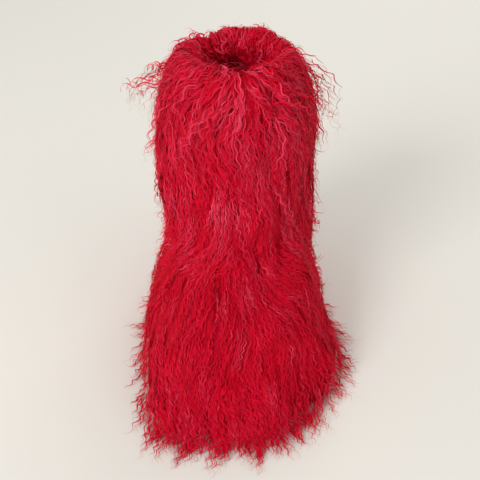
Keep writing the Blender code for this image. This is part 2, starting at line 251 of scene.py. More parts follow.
def coat_ring(rise):
    """The wool's outer face at one height, given as a share of the crest's."""
    reach, spread, girth = (
        np.interp(rise, coat_rows["rise"], coat_rows[name]) for name in ("reach", "spread", "girth")
    )
    shaft_half = (SHAFT_HALF + PILE_SHAFT) * girth
    shaft_reach = (SHAFT_REACH + PILE_SHAFT) * girth
    half = half_oval(
        back=lerp(shaft_reach, sole_high.y + PILE_HEEL, spread),
        front=lerp(-shaft_reach, sole_low.y - PILE_TOE, reach),
        rear_half=lerp(shaft_half, HEEL_HALF + PILE_HEEL_SIDE, spread),
        fore_half=lerp(shaft_half, BALL_HALF + PILE_BALL_SIDE, spread),
        rear_square=lerp(ROUND, SQUARE_HEEL, spread),
        fore_square=lerp(ROUND, SQUARE_TOE, spread),
    )
    return full_ring(half, max(HEM_HEIGHT, rise * CREST))


def bore_ring(depth, margin, lean):
    """A ring inside the collar: how far below the crest, off the hide's inner face and forward."""
    return full_ring(shaft_oval(-(HIDE_WALL + margin)), CREST - depth) - np.array([0.0, lean, 0.0])


print("wool across the foot:", round(2 * float(coat_ring(HEM_RISE)[:, 0].max()), 3), "m")

# %% Stack the rings into the map
COAT_RINGS = 64
HEM_CENTRE = np.array([0.0, -0.05])
BORE_STEPS = [
    # below the crest, off the hide, forward
    (0.064, 0.003, 0.000),
    (0.050, 0.010, 0.002),
    (0.036, 0.017, 0.004),
    (0.023, 0.020, 0.006),
    (0.012, 0.017, 0.005),
    (0.004, 0.008, 0.002),
]
SPILL_STEPS = [
    # past the hem, above the floor
    (0.008, 0.0030),
    (0.018, 0.0024),
    (0.030, 0.0020),
    (0.046, 0.0016),
]


def unit(vectors):
    return vectors / np.maximum(np.linalg.norm(vectors, axis=-1, keepdims=True), 1e-12)


coat_rises = np.linspace(1.0, HEM_RISE, COAT_RINGS)
rings = [bore_ring(*step) for step in BORE_STEPS]
rings += [coat_ring(rise) for rise in coat_rises]
hem = rings[-1][:, :2]
outward = unit(hem - HEM_CENTRE)
for reach, height in SPILL_STEPS:
    rings.append(np.column_stack([hem + outward * reach, np.full(MAP_COLUMNS, height)]))
coat = np.array(rings)
FIRST_COAT = len(BORE_STEPS)
LAST_COAT = FIRST_COAT + COAT_RINGS - 1
for _ in range(2):
    coat[1:-1] = 0.25 * coat[:-2] + 0.5 * coat[1:-1] + 0.25 * coat[2:]
print("map of the wool:", coat.shape[0], "rings of", coat.shape[1], "points")

# %% [markdown]
# ## Lumps, tucks and creases
#
# A stack of ovals is far too even. The real coat has broad lumps, upright folds where locks hang
# together, and short creases in front where they part. It is drawn in round the ankle and low on
# the outer side, the toe leans to the inner side, and its outer corner is cut round. All this
# could be sculpted by hand. Here each form is a smooth hill or dip that moves the map's points,
# so the locks take it on by themselves, and one number makes it stronger or weaker.


# %% Hills, ripples and slopes
def bell(*offsets):
    """1 where every offset is 0, and almost nothing where one of them is past 2."""
    return np.exp(-sum(offset**2 for offset in offsets))


def ripple(points, size, seed, waves=7):
    """A smooth random height, mostly from -1 to 1, whose lumps are of about that size."""
    chance = np.random.default_rng(seed)
    total = np.zeros(points.shape[:-1])
    for _ in range(waves):
        direction = chance.normal(size=3)
        direction /= np.linalg.norm(direction)
        speed = math.tau / (size * chance.uniform(0.8, 1.8))
        total += np.sin(points @ direction * speed + chance.uniform(0, math.tau))
    return total / math.sqrt(waves)


def slopes(grid):
    """How the map runs down and round at each of its points, and which way is outwards."""
    down = np.gradient(grid, axis=0)
    around = (np.roll(grid, -1, axis=1) - np.roll(grid, 1, axis=1)) / 2
    return down, around, unit(np.cross(around, down))


# %% Give the map its lumps and tucks
LUMP_SIZE = 0.075
LUMP_HEIGHT = 0.0030
FOLD_SIZE = 0.036
FOLD_HEIGHT = 0.0018
# points squeezed in height make a ripple's forms taller than they are wide
UPRIGHT = np.array([1.0, 1.0, 0.3])
SHARE_IN_BORE = 0.2
OUTER_TUCK = 0.012
ANKLE_TUCK = 0.004
TOE_LEAN = 0.011
CORNER_TUCK = 0.023

coat_out = slopes(coat)[2]
lumps = ripple(coat, LUMP_SIZE, seed=3) * LUMP_HEIGHT
lumps += ripple(coat * UPRIGHT, FOLD_SIZE, seed=4) * FOLD_HEIGHT
lumps[:FIRST_COAT] *= SHARE_IN_BORE
lumps[LAST_COAT:] = 0.0
coat += coat_out * lumps[..., None]
side, toeward, height = coat[..., 0].copy(), -coat[..., 1], coat[..., 2].copy()
low_outside = smooth(side, 0.02, 0.08) * bell((height - 0.045) / 0.030) * smooth(-toeward, -0.13, -0.06)
ankle_sides = bell((height - 0.105) / 0.020) * np.clip(side / 0.08, -1, 1)
toe_shift = TOE_LEAN * smooth(toeward, 0.13, 0.25)
coat[..., 0] -= OUTER_TUCK * low_outside + ANKLE_TUCK * ankle_sides + toe_shift
coat[..., 1] += CORNER_TUCK * smooth(side, 0.01, 0.10) * smooth(toeward, 0.12, 0.24)
print("lumps and folds up to", round(1000 * float(np.abs(lumps).max()), 1), "mm")

# %% Give it its creases and measure its slopes
CREASE_DEPTH = 0.010
CREASES = [
    # place across, height, half width, half height, lean
    (-0.027, 0.104, 0.0055, 0.024, 0.16),
    (0.017, 0.136, 0.0045, 0.012, -0.30),
    (0.034, 0.304, 0.0060, 0.014, -0.20),
]

for across, level, half_width, half_height, lean in CREASES:
    beside = coat[..., 0] - across - lean * (height - level)
    crease = bell(beside / half_width, (height - level) / half_height)
    coat -= coat_out * (CREASE_DEPTH * crease * smooth(toeward, 0.03, 0.06))[..., None]
coat_down, coat_around, coat_out = slopes(coat)
coat_map = np.concatenate([coat, coat_down, coat_around, coat_out], axis=2)
print("rings lie", round(1000 * float(np.linalg.norm(coat_down, axis=2).mean()), 1), "mm apart")


# %% Read the map between its points
def read_map(ring, column):
    """Point, slope down, slope round and outward direction at places between the map's points."""
    ring = np.clip(ring, 0, coat.shape[0] - 1.001)
    low = ring.astype(int)
    left = np.floor(column).astype(int)
    down_share = (ring - low)[:, None]
    side_share = (column - left)[:, None]
    left %= MAP_COLUMNS
    right = (left + 1) % MAP_COLUMNS
    upper_row = lerp(coat_map[low, left], coat_map[low, right], side_share)
    lower_row = lerp(coat_map[low + 1, left], coat_map[low + 1, right], side_share)
    mixed = lerp(upper_row, lower_row, down_share)
    return mixed[:, 0:3], mixed[:, 3:6], mixed[:, 6:9], mixed[:, 9:12]


# %% [markdown]
# ## Where the wool is combed to
#
# Left alone, a lock runs straight down the map. On the boot it doesn't: on the front of the
# collar the wool parts and sweeps to both sides before it falls, and over the foot it fans out
# from the front of the ankle. In Blender's editor a comb brush would do this by hand. Here both
# are an angle away from straight down, which is quick to correct, and a soft random field bends
# neighbours together, as a brush would.

# %% The comb
FAN_NEAR = np.array([-0.003, -0.090, 0.135])
FAN_FAR = np.array([-0.024, -0.060, 0.112])
FAN_LIMIT = 0.85
SWEEP = 0.95
PARTING_COLUMN = 0.492 * MAP_COLUMNS
PARTING_SOFTNESS = 10.0
SWEEP_WIDTH = 52.0
DRIFTS = [
    # angle, size of its patches, seed
    (0.24, 0.060, 21),
    (0.10, 0.022, 22),
]


def dot(first, second):
    return (first * second).sum(axis=-1)


def comb(point, down, around, column):
    """How far the wool is turned from straight down here, in radians, positive along the columns."""
    toeward, height = -point[:, 1], point[:, 2]
    away = point - lerp(FAN_NEAR, FAN_FAR, smooth(0.060 - height, 0.0, 0.045)[:, None])
    fan = np.arctan2(dot(away, around), dot(away, down))
    fan = np.clip(fan, -FAN_LIMIT, FAN_LIMIT) * smooth(toeward, -0.06, 0.05)
    fan = fan * smooth(0.158 - height, 0.0, 0.050)
    beside = column - PARTING_COLUMN
    rim = smooth(height, 0.262, 0.318) * smooth(toeward, 0.005, 0.045)
    sweep = -SWEEP * np.tanh(beside / PARTING_SOFTNESS) * bell(beside / SWEEP_WIDTH) * rim
    drift = sum(angle * ripple(point, size, seed) for angle, size, seed in DRIFTS)
    return fan - sweep + drift


# %% [markdown]
# ## Locks that run down the map
#
# Wool doesn't show strand by strand: strands that touch hang together in a lock and wave as one.
# Blender's hair curves could grow them, but they would still need combing, and a model that other
# programs read has to be a mesh. So only the middle line of each lock is walked down the map, in
# small steps, and its strands follow it. All the locks of a piece take each step at once, which
# keeps the walk quick.


# %% Walk the middle lines
def walk_locks(ring, column, length, turn, steps):
    """Middle lines down the map. Each step also gives the outward and the sideways direction."""
    points, outs, sides = [], [], []
    stride = length / steps
    for index in range(steps + 1):
        point, down, around, out = read_map(ring, column)
        out = unit(out)
        down_step, around_step = np.linalg.norm(down, axis=1), np.linalg.norm(around, axis=1)
        down, around = unit(down), unit(around)
        angle = comb(point, down, around, column) + turn(index / steps)
        forward = unit(down * np.cos(angle)[:, None] + around * np.sin(angle)[:, None])
        points.append(point)
        outs.append(out)
        sides.append(unit(np.cross(out, forward)))
        ring = ring + np.cos(angle) * stride / down_step
        column = column + np.sin(angle) * stride / around_step
    return np.array(points), np.array(outs), np.array(sides)


# %% [markdown]
# ## Where locks are rooted
#
# Skin grows its wool evenly, but the locks spread apart where they part or fan out, and the skin
# would show there. Blender's scatter nodes could place roots by a painted weight. Here the weight
# is written down: more locks grow at the parting, over the instep, at the toes and low on both
# sides. A fixed sequence places them, so there are no holes and no clumps, as chance would leave.

# %% Scatter the roots
# one over the plastic number, and over its square: steps of a sequence that fills a plane evenly
STEP_DOWN = 0.7548776662
STEP_ROUND = 0.5698402910
ROOT_JITTER = 0.4


def thickness_of_growth(points):
    """How many locks grow here, against one where nothing spreads them."""
    side, toeward, height = points[..., 0], -points[..., 1], points[..., 2]
    parting = smooth(height, 0.27, 0.31) * bell(side / 0.045) * smooth(toeward, 0.0, 0.04)
    instep = bell(side / 0.09, (height - 0.105) / 0.038) * smooth(toeward, 0.02, 0.08)
    toes = smooth(toeward, 0.17, 0.23)
    low_sides = smooth(np.abs(side), 0.06, 0.10) * smooth(0.06 - height, 0.0, 0.03)
    return 1 + 1.6 * parting + 1.2 * instep + 2.4 * toes + 0.4 * low_sides


def scatter(count, first, last, chance):
    """Places on the map between two rings, spread by that growth."""
    low, high = int(math.floor(first)), int(math.ceil(last))
    area = np.linalg.norm(np.cross(coat_down[low:high], coat_around[low:high]), axis=2)
    area = area * thickness_of_growth(coat[low:high])
    row_share = np.concatenate([[0.0], np.cumsum(area.sum(axis=1)) / area.sum()])
    column_share = np.cumsum(area, axis=1) / area.sum(axis=1, keepdims=True)
    column_share = np.concatenate([np.zeros((area.shape[0], 1)), column_share], axis=1)
    number = np.arange(count)
    down_share = (chance.random() + number * STEP_DOWN) % 1
    ring = low + np.interp(down_share, row_share, np.arange(row_share.size))
    round_share = (chance.random() + number * STEP_ROUND) % 1
    rows = np.clip(ring.astype(int) - low, 0, area.shape[0] - 1)
    marks = np.arange(MAP_COLUMNS + 1)
    column = np.array([np.interp(x, column_share[row], marks) for x, row in zip(round_share, rows)])
    return np.clip(ring, first, last), column + chance.normal(0, ROOT_JITTER, count)


print("locks grow up to", round(float(thickness_of_growth(coat).max()), 1), "times as thick")

# %% [markdown]
# ## From a lock to thin bands
#
# At the root the strands of a lock stand a few millimetres apart, towards the tip they close up,
# and at the very end they part again. Each strand waves sideways and in depth at once, like a
# stretched spring, which is the crimp of this wool. Neighbouring locks start at nearly the same
# point of the wave, so the crimp runs through them as it does through combed wool. A round strand
# would take several times the faces. A strand is made as a thin band two points wide, so that
# many thousands can be afforded, and its material makes it look like hairs.

# %% Shape the strands of a piece
TIP_FLOOR = 0.0006


def along_lines(lines, which, share):
    """Reads the lines of a piece's strands at shares of their length."""
    place = np.clip(share * (lines.shape[0] - 1), 0, lines.shape[0] - 1.001)
    low = place.astype(int)
    which = which[:, None]
    return lerp(lines[low, which], lines[low + 1, which], (place - low)[..., None])


def shape_strands(lines, length, look, chance):
    """Both edges and the tone of every strand, from the middle lines of their locks."""
    points, outs, sides = lines
    count = length.size * look["strands"]
    lock = np.repeat(np.arange(length.size), look["strands"])
    t = np.linspace(0, 1, look["segments"] + 1)[None, :]
    share = t * chance.uniform(look["shortest"], 1.0, count)[:, None]
    centre = along_lines(points, lock, share)
    out = unit(along_lines(outs, lock, share))
    side = unit(along_lines(sides, lock, share))

    # where a strand lies in its lock, and how far lock and loose strands stand off the map
    closing = 1 - look["clump"] * smooth(t, 0.0, 0.6) + 0.4 * smooth(t, 0.7, 1.0)
    lateral = chance.normal(0, look["spread"], count)[:, None] * closing
    patches = 0.5 + 0.5 * ripple(points[0], 0.026, seed=32)
    lock_lift = (0.45 * chance.uniform(0.1, 1.0, length.size) + 0.65 * patches)[lock][:, None] * look["lift"]
    layer = chance.uniform(-1, 1, count)[:, None] * look["layer"] * closing
    lift = -look["root"] * (1 - smooth(t, 0.0, 0.3)) + lock_lift * smooth(t, 0.1, 0.8) + layer
    loose = chance.random(count)[:, None] ** 5
    lift = lift + look["flare"] * loose * smooth(t, 0.35, 1.0)
    lift *= 1 - 0.7 * np.clip(out[..., 2], 0.0, 1.0) ** 2

    # the crimp: sideways and outwards a quarter of a wave apart
    wave = look["wave"] * chance.uniform(0.85, 1.2, length.size)[lock][:, None]
    cycles = length[lock][:, None] * share / wave
    shared = 5.0 * ripple(points[0], 0.045, seed=31)[lock]
    phase = shared + chance.normal(0, 0.6, length.size)[lock] + chance.normal(0, 0.35, count)
    wander = 0.7 * np.sin(math.tau * 1.1 * t + chance.uniform(0, math.tau, count)[:, None])
    angle = math.tau * cycles + phase[:, None] + wander
    size = chance.uniform(0.6, 1.3, length.size)[lock] * chance.uniform(0.8, 1.25, count)
    amount = size[:, None] * look["crimp"] * lerp(0.35, 1.2, smooth(t, 0.0, 0.9))
    middle = centre + side * (lateral + amount * np.sin(angle))[..., None]
    middle += out * (lift + 0.6 * amount * np.cos(angle))[..., None]

    # the band: rolled a little about its length, and narrower at both ends
    roll = chance.normal(0, look["roll"], count)[:, None] + chance.normal(0, 0.4, count)[:, None] * t
    across = side * np.cos(roll)[..., None] + out * np.sin(roll)[..., None]
    taper = lerp(0.7, 1.0, smooth(t, 0.0, 0.3)) * lerp(1.0, 0.25, smooth(t, 0.6, 1.0))
    half = (1 - 0.55 * loose) * chance.uniform(0.7, 1.35, count)[:, None] * look["width"] / 2 * taper
    edges = np.stack([middle - across * half[..., None], middle + across * half[..., None]], axis=2)
    edges[..., 2] = np.maximum(edges[..., 2], TIP_FLOOR)
    # the tones are partly random for each strand and each lock, and partly painted shade: the patches that
    # keep locks nearer the map also give them darker tones
    tones = 0.36 * chance.random(count) + (0.34 * chance.random(length.size) + 0.30 * patches)[lock]
    # painted shade: the look's light factor pulls the tones of the lower pieces towards the deep red
    return edges, look["light"] * np.clip(tones, 0.0, 1.0)


# %% Make the bands of a piece
def add_strand_maps(mesh, tones, segments, corners):
    """Each strand's own map, a map of all strands side by side, and a tone for each strand."""
    count = tones.size
    point = np.arange(count * (segments + 1) * 2)
    across = point % 2
    share = (point // 2) % (segments + 1) / segments
    strand = point // (2 * (segments + 1))
    rows = max(1, round(math.sqrt(count / 40)))
    columns = math.ceil(count / rows)
    own = np.stack([across, share], axis=1)
    beside_x = (strand % columns + 0.1 + 0.8 * across) / columns
    beside_y = (strand // columns + 0.01 + 0.98 * share) / rows
    for name, values in (("Strand", own), ("OFBake", np.stack([beside_x, beside_y], axis=1))):
        layer = mesh.uv_layers.new(name=name)
        layer.data.foreach_set("uv", values[corners].reshape(-1).astype(np.float32))
    tone = mesh.attributes.new("tone", "FLOAT", "POINT")
    tone.data.foreach_set("value", tones[strand].astype(np.float32))


def make_bands(name, edges, tones):
    """One piece of wool: all its strands as one mesh of thin bands."""
    count, rows = edges.shape[:2]
    segments = rows - 1
    base = (np.arange(count) * rows * 2)[:, None] + 2 * np.arange(segments)[None, :]
    corners = np.stack([base, base + 2, base + 3, base + 1], axis=2).reshape(-1)
    mesh = bpy.data.meshes.new(name)
    mesh.vertices.add(edges.size // 3)
    mesh.vertices.foreach_set("co", edges.reshape(-1).astype(np.float32))
    mesh.loops.add(corners.size)
    mesh.loops.foreach_set("vertex_index", corners.astype(np.int32))
    mesh.polygons.add(corners.size // 4)
    mesh.polygons.foreach_set("loop_start", np.arange(0, corners.size, 4, dtype=np.int32))
    mesh.update(calc_edges=True)
    mesh.shade_smooth()
    add_strand_maps(mesh, tones, segments, corners)
    piece = add_object(name, mesh)
    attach(piece, "root")
    print(name, count, "strands,", corners.size // 2, "triangles")
    return piece


# %% [markdown]
# ## The colour of dyed wool
#
# Dyed wool is one red, but no two strands show it alike. The tips take the light and look
# pinker, the roots sit in each other's shade, and each strand has its own tone. Blender's hair
# shader would give that, but it needs true hairs. A band is flat, so a bump across it makes it
# round, and a mask of fine streaks cuts it into hairs, more of it towards the tip. Wool has no
# gloss to speak of, only a faint silky light along the crimp.

# %% The wool's colours and its streaks
# the deep red is the darkest random tone, and also the painted shade at the strands' roots
WOOL_DEEP_AND_ROOT_SHADE = (0.64, 0.0008, 0.015)
WOOL_RED = (0.69, 0.0030, 0.031)
WOOL_PINK = (0.76, 0.060, 0.126)
SHEEN_PINK = (1.0, 0.30, 0.38)
HAIR_RELIEF = 1.0
CUT_FROM = 0.4
CUT_AT_ROOT = 0.50
CUT_AT_TIP = 0.80
CUT_SHARPNESS = 12.0
# moves the streaks by a strand's tone, so that no two strands share them
STREAK_SHIFT = (37.0, 11.0, 0.0)


def link(tree, source, target):
    tree.links.new(source, target)


def add_node(tree, kind, inputs=None, **values):
    """Adds a node, sets what it is, and then its inputs by name or number."""
    node = tree.nodes.new(kind)
    for name, value in values.items():
        setattr(node, name, value)
    set_inputs(node, inputs or {})
    return node


def add_socket(group, in_out, kind, name, default=None):
    socket = group.interface.new_socket(name, in_out=in_out, socket_type="NodeSocket" + kind)
    if default is not None:
        socket.default_value = default


def make_streak_group():
    """Fine hairs side by side: reads a map across and along the wool, and gives their height."""
    group = bpy.data.node_groups.new("wool_hairs", "ShaderNodeTree")
    add_socket(group, "INPUT", "Vector", "Map")
    add_socket(group, "INPUT", "Float", "Hairs", 3.0)
    add_socket(group, "INPUT", "Float", "Length", 1.2)
    add_socket(group, "OUTPUT", "Float", "Height")
    taken = add_node(group, "NodeGroupInput")
    given = add_node(group, "NodeGroupOutput")
    scale = add_node(group, "ShaderNodeCombineXYZ")
    link(group, taken.outputs["Hairs"], scale.inputs["X"])
    link(group, taken.outputs["Length"], scale.inputs["Y"])
    spread = add_node(group, "ShaderNodeVectorMath", operation="MULTIPLY")
    link(group, taken.outputs["Map"], spread.inputs[0])
    link(group, scale.outputs["Vector"], spread.inputs[1])
    rough = {"Scale": 1.0, "Detail": 3.0, "Roughness": 0.6}
    noise = add_node(group, "ShaderNodeTexNoise", rough, noise_dimensions="2D")
    link(group, spread.outputs["Vector"], noise.inputs["Vector"])
    link(group, noise.outputs["Fac"], given.inputs["Height"])
    return group


hair_group = make_streak_group()
print("group:", hair_group.name)


# %% What the materials have in common
def add_ramp(tree, stops):
    ramp = add_node(tree, "ShaderNodeValToRGB")
    elements = ramp.color_ramp.elements
    for element, (position, colour) in zip(elements, (stops[0], stops[-1])):
        element.position, element.color = position, (*colour, 1)
    for position, colour in stops[1:-1]:
        elements.new(position).color = (*colour, 1)
    return ramp


def add_hairs(tree, vector, hairs, length):
    counts = {"Hairs": hairs, "Length": length}
    node = add_node(tree, "ShaderNodeGroup", counts, node_tree=hair_group)
    link(tree, vector, node.inputs["Map"])
    return node.outputs["Height"]


def add_bump(tree, shader, height, strength, distance):
    bump = add_node(tree, "ShaderNodeBump", {"Strength": strength, "Distance": distance})
    link(tree, height, bump.inputs["Height"])
    link(tree, bump.outputs["Normal"], shader.inputs["Normal"])


# %% The material of the strands
def make_wool():
    material, shader = add_plain_material("dyed_wool", WOOL_RED, 0.5)
    tree = material.node_tree
    set_inputs(shader, {"Specular IOR Level": 0.06, "Sheen Weight": 0.03})
    set_inputs(shader, {"Sheen Roughness": 0.5, "Sheen Tint": (*SHEEN_PINK, 1.0)})
    own = add_node(tree, "ShaderNodeUVMap", uv_map="Strand")
    split = add_node(tree, "ShaderNodeSeparateXYZ")
    link(tree, own.outputs["UV"], split.inputs[0])
    tone = add_node(tree, "ShaderNodeAttribute", attribute_name="tone")
    dyed = add_ramp(tree, [(0.15, WOOL_DEEP_AND_ROOT_SHADE), (0.5, WOOL_RED), (0.85, WOOL_PINK)])
    link(tree, tone.outputs["Fac"], dyed.inputs["Fac"])
    # painted shade: over the first three tenths of a strand its colour runs up from the deep red to its
    # tone, for the shade the roots sit in
    roots = add_node(tree, "ShaderNodeMapRange", {"From Max": 0.3})
    link(tree, split.outputs["Y"], roots.inputs["Value"])
    shade = add_node(tree, "ShaderNodeMix", {"A": (*WOOL_DEEP_AND_ROOT_SHADE, 1)}, data_type="RGBA")
    link(tree, roots.outputs["Result"], shade.inputs["Factor"])
    link(tree, dyed.outputs["Color"], shade.inputs["B"])
    link(tree, shade.outputs["Result"], shader.inputs["Base Color"])

    # the height of a band: hairs, and the round of the whole band from edge to middle
    placed = add_node(tree, "ShaderNodeVectorMath", {1: STREAK_SHIFT}, operation="MULTIPLY_ADD")
    link(tree, tone.outputs["Fac"], placed.inputs[0])
    link(tree, own.outputs["UV"], placed.inputs[2])
    hairs = add_hairs(tree, placed.outputs["Vector"], 5.0, 2.0)
    middle = add_node(tree, "ShaderNodeMath", {1: 0.5}, operation="PINGPONG")
    link(tree, split.outputs["X"], middle.inputs[0])
    body = add_node(tree, "ShaderNodeMath", {1: HAIR_RELIEF}, operation="MULTIPLY_ADD")
    link(tree, hairs, body.inputs[0])
    link(tree, middle.outputs["Value"], body.inputs[2])
    add_bump(tree, shader, body.outputs["Value"], 0.38, 0.0008)

    # the mask: what lies lower than a limit is cut away, and the limit rises towards the tip
    limits = {"From Min": CUT_FROM, "To Min": CUT_AT_ROOT, "To Max": CUT_AT_TIP}
    thinning = add_node(tree, "ShaderNodeMapRange", limits)
    link(tree, split.outputs["Y"], thinning.inputs["Value"])
    above = add_node(tree, "ShaderNodeMath", operation="SUBTRACT")
    link(tree, body.outputs["Value"], above.inputs[0])
    link(tree, thinning.outputs["Result"], above.inputs[1])
    mask = add_node(tree, "ShaderNodeMath", {1: CUT_SHARPNESS}, operation="MULTIPLY", use_clamp=True)
    link(tree, above.outputs["Value"], mask.inputs[0])
    link(tree, mask.outputs["Value"], shader.inputs["Alpha"])
    return material


wool = make_wool()
print("material:", wool.name)

# %% [markdown]
# ## How each band of wool looks
#
# The wool isn't the same everywhere. On the shaft the locks are long and their waves wide. Over
# the foot the crimp is shorter and finer, and at the hem the ends are uneven. At the rim the
# locks stand thick, and inside the collar they lean over the opening until only a small dark hole
# is left. Single strands fly off, short ones make a fuzz, and two tangles stand off the collar.
# One look for all would be shorter, but the eye tells at once. So the shaft's look is the
# measure, and each other look says where it differs.

# %% The looks of the wool
SHAFT_LOOK = dict(
    segments=30,  # steps along a strand
    strands=4,  # strands in a lock
    # below 1 the light factor darkens a piece's tones; the lower values of the lower shaft, the foot and the
    # hem are painted shade
    light=0.95,  # how bright its tones are
    shortest=0.55,  # its shortest strand, as a share of the lock
    spread=0.0040,  # how far strands lie beside the middle line
    clump=0.42,  # how far they close up towards the tip
    lift=0.0016,  # how far the lock stands off the map
    layer=0.0014,  # half its thickness
    flare=0.010,  # how far its loosest strands stand off
    root=0.004,  # how deep it starts
    wave=0.0135,  # the length of a crimp
    crimp=0.0012,  # how far a crimp swings
    roll=0.28,  # how far bands turn about their length
    width=0.0016,  # how wide a band is
)


def like_shaft(**changes):
    return SHAFT_LOOK | changes


LOOKS = {
    "bore": like_shaft(
        segments=26, light=1.0, shortest=0.5, spread=0.0045, clump=0.3, lift=0.010,
        layer=0.0040, root=0.003, wave=0.0105, crimp=0.0026, roll=0.8, width=0.0018,
    ),
    "collar": like_shaft(
        segments=34, light=1.0, spread=0.0044, clump=0.4, lift=0.003,
        layer=0.0020, flare=0.012, wave=0.0150, crimp=0.0014, roll=0.34,
    ),
    "shaft": like_shaft(),
    "shaft_low": like_shaft(
        light=0.9, lift=0.0024, flare=0.012, wave=0.0108, crimp=0.0011, width=0.0014,
    ),
    # the foot's low light factor is painted shade
    "foot": like_shaft(
        segments=33, light=0.76, spread=0.0042, clump=0.30, layer=0.0015,
        flare=0.009, wave=0.0086, crimp=0.0010, roll=0.3, width=0.0013,
    ),
    # the hem's low light factor is painted shade
    "hem": like_shaft(
        segments=34, light=0.78, shortest=0.36, spread=0.0042, clump=0.40, lift=0.0026,
        layer=0.0020, flare=0.005, root=0.003, wave=0.0095, crimp=0.0015, roll=0.4, width=0.0014,
    ),
    "flyaway": like_shaft(
        segments=36, strands=3, shortest=0.6, spread=0.0020, clump=0.50, lift=0.030,
        layer=0.0040, flare=0.006, wave=0.0125, crimp=0.0026, roll=0.5,
    ),
    "stray": like_shaft(
        segments=36, strands=2, light=0.9, shortest=0.6, spread=0.0030, clump=0.3, lift=0.016,
        layer=0.0030, flare=0.008, wave=0.0110, crimp=0.0022, roll=0.5, width=0.0014,
    ),
    "fuzz": like_shaft(
        segments=12, strands=3, light=0.85, shortest=0.5, clump=0.0, lift=0.008,
        layer=0.0030, root=0.002, wave=0.0085, crimp=0.0013, roll=0.6, width=0.0011,
    ),
    "tangle": like_shaft(
        segments=36, spread=0.0030, clump=0.30, lift=0.036,
        layer=0.0060, flare=0.008, wave=0.0120, crimp=0.0032, roll=0.5, width=0.0017,
    ),
}
print("looks:", sorted(LOOKS))

# %% How a piece of wool grows
# a lock that would run further ends this far past the hem, and at the toe a little more
PAST_HEM = (0.004, 0.026)
TOE_SPILL = 0.008

ring_runs = np.linalg.norm(coat[1:] - coat[:-1], axis=2).mean(axis=1)
RUN_AT_RING = np.concatenate([[0.0], np.cumsum(ring_runs)])
RUN_AT_HEM = np.interp(LAST_COAT, np.arange(coat.shape[0]), RUN_AT_RING)


def ring_at(rise):
    """The map's ring at a height given as a share of the crest's."""
    return FIRST_COAT + (1.0 - rise) / (1.0 - HEM_RISE) * (COAT_RINGS - 1)


def grow(name, seed, locks, rings, lengths, look, aside, past_hem=PAST_HEM, columns=None):
    """Scatters roots between two rings, or also two columns, and makes their bands."""
    look = LOOKS[look]
    chance = np.random.default_rng(seed)
    ring, column = scatter(locks, *rings, chance)
    if columns is not None:
        column = chance.uniform(*columns, locks)
    to_hem = RUN_AT_HEM - np.interp(ring, np.arange(coat.shape[0]), RUN_AT_RING)
    length = chance.uniform(*lengths, locks)
    toe_spill = TOE_SPILL * smooth(-read_map(ring, column)[0][:, 1], 0.18, 0.23)
    length = np.minimum(length, to_hem + chance.uniform(*past_hem, locks) + toe_spill)
    own = chance.normal(0, aside, locks)
    curl = chance.normal(0, aside, locks)
    start = chance.uniform(0, math.tau, locks)

    def turn(share):
        return own * (1 - 0.5 * share) + curl * np.sin(start + 4.0 * share)

    lines = walk_locks(ring, column, length, turn, look["segments"])
    piece = make_bands(name, *shape_strands(lines, length, look, chance))
    piece.data.materials.append(wool)


print("the hem lies", round(RUN_AT_HEM, 3), "m down the map")

# %% Grow the wool of collar, shaft and foot
# name, seed, locks, between rings, lengths, look, how far locks go astray, ends past the hem
grow("wool_inside_collar", 101, 200, (0.5, FIRST_COAT - 1.0), (0.030, 0.055), "bore", 1.2)
grow("wool_collar", 102, 610, (FIRST_COAT - 3.5, ring_at(0.82)), (0.055, 0.100), "collar", 0.15)
grow("wool_shaft_upper", 103, 580, (ring_at(0.86), ring_at(0.62)), (0.055, 0.085), "shaft", 0.10)
grow("wool_shaft_lower", 104, 580, (ring_at(0.64), ring_at(0.38)), (0.050, 0.072), "shaft_low", 0.10)
grow("wool_foot", 105, 700, (ring_at(0.44), ring_at(0.14)), (0.040, 0.070), "foot", 0.10)
above_hem = (ring_at(0.18), ring_at(0.08))
grow("wool_above_hem", 106, 330, above_hem, (0.045, 0.090), "hem", 0.14, past_hem=(-0.016, 0.030))
at_hem = (ring_at(0.09), ring_at(0.010))
grow("wool_hem", 109, 530, at_hem, (0.030, 0.075), "hem", 0.14, past_hem=(-0.014, 0.034))

# %% Grow the loose wool
grow("wool_flyaways", 107, 44, (FIRST_COAT + 1.5, ring_at(0.88)), (0.060, 0.110), "flyaway", 0.35)
grow("wool_strays", 108, 80, (ring_at(0.94), ring_at(0.40)), (0.050, 0.095), "stray", 0.35)
grow("wool_fuzz", 110, 280, (ring_at(0.97), ring_at(0.10)), (0.014, 0.026), "fuzz", 0.7)
outer_place = dict(rings=(FIRST_COAT + 1.0, ring_at(0.93)), columns=(36, 84))
grow("wool_tangle_outer", 111, 9, lengths=(0.080, 0.120), look="tangle", aside=0.30, **outer_place)
inner_place = dict(rings=(FIRST_COAT + 0.5, ring_at(0.95)), columns=(168, 212))
grow("wool_tangle_inner", 112, 6, lengths=(0.060, 0.090), look="tangle", aside=0.45, **inner_place)

# %% [markdown]
# ## The skin under the locks
#
# Between the locks the eye meets the dense underwool, so a closed shell lies two millimetres or so
# under the map. Many short strands would do the same, but at millions of faces. The shell starts
# as a circle of edges that is extruded ring by ring down the map, turned under at the hem as far
# as the sole, and closed along its inside. At the hem it stays back, most at the toe and less at
# the sides and the toe's outer corner, so that the locks' ends alone make the edge.

# %% The underwool's material
# painted shade: the underwool is a darker red than the strands, for the shade between the locks
UNDERWOOL_SHADED_RED = (0.58, 0.0012, 0.019)
UNDERWOOL_SHADED_DEEP = (0.42, 0.0006, 0.011)
CRIMP_LENGTH = 0.011
CRIMP_SWING = 0.0011
CRIMP_BEND = 12.0


